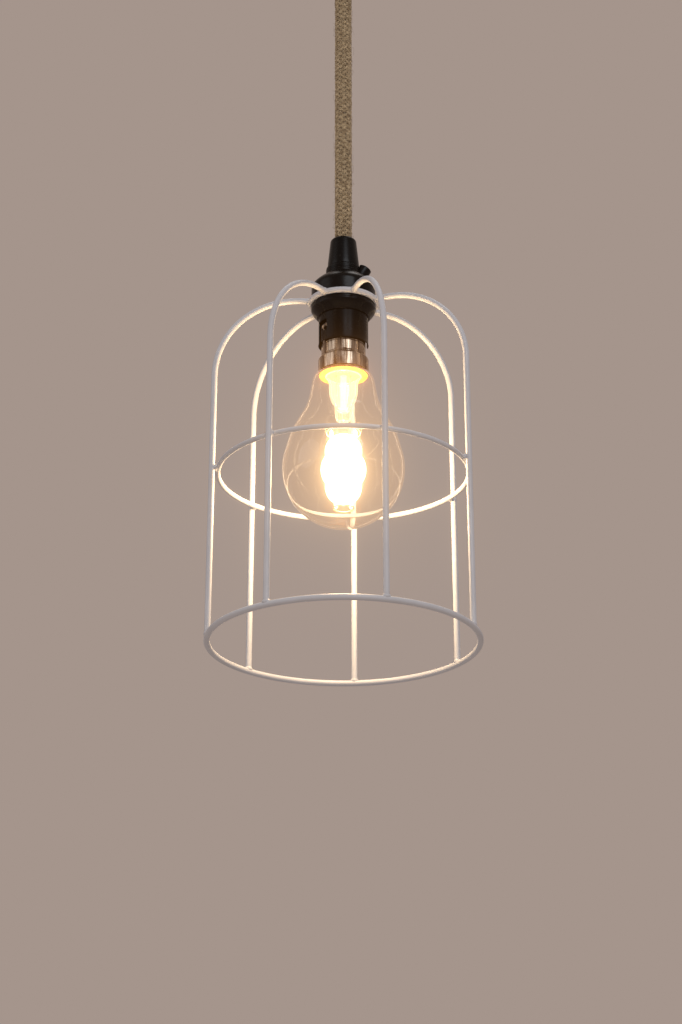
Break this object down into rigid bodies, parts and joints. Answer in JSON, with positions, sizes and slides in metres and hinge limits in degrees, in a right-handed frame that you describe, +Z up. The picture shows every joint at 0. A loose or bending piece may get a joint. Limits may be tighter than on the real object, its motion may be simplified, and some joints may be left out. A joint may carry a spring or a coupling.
{
  "type": "pendant ceiling light",
  "caption": "Pendant ceiling light: a rose and a braided cord carry a black bayonet lampholder with a clear filament lamp inside a round open cage of white wire.",
  "frame": {"origin": "centre of the ceiling rose's flat face, where it meets the ceiling", "axes": "+Z up, out of the face into the ceiling; the light hangs along -Z; -Y is the side seen first; +X is the side of the cap's lock screw"},
  "size_m": [0.1334, 0.133, 0.4174],
  "materials": {
    "black_metal": "slightly glossy black paint on metal",
    "steel": "bright zinc-plated steel",
    "white_plastic": "moulded white insulating plastic",
    "jute_braid": "coarse diamond braid of brown and beige jute yarn",
    "core_live": "brown core insulation",
    "core_neutral": "blue core insulation",
    "core_earth": "green core insulation with a yellow stripe",
    "brass": "turned brass",
    "nickel": "nickel-plated brass with soft vertical reflections",
    "clear_glass": "clear thin glass",
    "black_glass": "black fused insulating glass",
    "driver_board": "green circuit board",
    "cement": "yellow capping cement",
    "phosphor": "yellow phosphor coat on a light-emitting stick",
    "white_wire": "smooth white powder coat on round wire"
  },
  "bodies": {
    "ceiling_rose": {"rose_backplate": "steel", "rose_cover": "black_metal", "rose_cover_screw_left": "black_metal", "rose_cover_screw_right": "black_metal", "terminal_block": "white_plastic", "cord_gland": "black_metal", "gland_nut": "steel", "gland_screw": "steel", "cord_tail": "jute_braid", "rose_core_live": "core_live", "rose_core_neutral": "core_neutral", "rose_core_earth": "core_earth"},
    "cord_bend": {"cord_bend": "jute_braid"},
    "pendant": {"cord_drop": "jute_braid", "cord_grip_sleeve": "black_metal", "cord_grip_collet": "white_plastic", "holder_cap": "black_metal", "cap_lock_screw": "steel", "holder_insert": "white_plastic", "holder_barrel": "black_metal", "terminal_screw_live": "brass", "terminal_screw_neutral": "brass", "contact_spring_live": "steel", "contact_spring_neutral": "steel", "holder_core_live": "core_live", "holder_core_neutral": "core_neutral", "holder_core_earth": "core_earth"},
    "contact_plungers": {"contact_plunger_live": "brass", "contact_plunger_neutral": "brass"},
    "lamp": {"lamp_glass": "clear_glass", "lamp_cap_shell": "nickel", "lamp_cap_insulator": "black_glass", "lamp_contact_live": "steel", "lamp_contact_neutral": "steel", "bayonet_pin_left": "nickel", "bayonet_pin_right": "nickel", "lamp_driver_board": "driver_board", "glass_stem": "clear_glass", "lamp_cement": "cement", "led_filament_1": "phosphor", "led_filament_2": "phosphor", "led_filament_3": "phosphor", "led_filament_4": "phosphor", "filament_yoke_left": "nickel", "filament_yoke_right": "nickel", "lead_wire_left": "nickel", "lead_wire_right": "nickel", "filament_bridge": "nickel"},
    "cage": {"cage_top_ring": "white_wire", "cage_middle_ring": "white_wire", "cage_bottom_ring": "white_wire", "cage_rib_1": "white_wire", "cage_rib_2": "white_wire", "cage_rib_3": "white_wire", "cage_rib_4": "white_wire", "cage_rib_5": "white_wire", "cage_rib_6": "white_wire", "cage_rib_7": "white_wire"},
    "shade_ring": {"shade_ring": "black_metal"}
  },
  "joints": [
    {"name": "swing_side", "type": "hinge", "parent": "ceiling_rose", "child": "cord_bend", "pos_m": [0, 0, -0.046], "axis": [0, 1, 0], "range_deg": [-20, 20]},
    {"name": "swing_front", "type": "hinge", "parent": "cord_bend", "child": "pendant", "pos_m": [0, 0, -0.046], "axis": [1, 0, 0], "range_deg": [-20, 20]},
    {"name": "lamp_press", "type": "slide", "parent": "pendant", "child": "contact_plungers", "axis": [0, 0, 1], "range_m": [0, 0.003], "stiffness_N_per_m": 600, "springref_m": -0.006, "deforming": ["contact_spring_live", "contact_spring_neutral"]},
    {"name": "lamp_turn", "type": "hinge", "parent": "contact_plungers", "child": "lamp", "pos_m": [0, 0, -0.28], "axis": [0, 0, -1], "range_deg": [0, 20]},
    {"name": "cage_lower", "type": "slide", "parent": "pendant", "child": "cage", "axis": [0, 0, -1], "range_m": [0, 0.003]},
    {"name": "shade_ring_turn", "type": "hinge", "parent": "cage", "child": "shade_ring", "pos_m": [0, 0, -0.243], "axis": [0, 0, -1], "range_deg": [0, 720]}
  ],
  "couplings": [
    {"joint": "shade_ring_turn", "follows": "cage_lower", "rad_per_m": 4188.8}
  ]
}
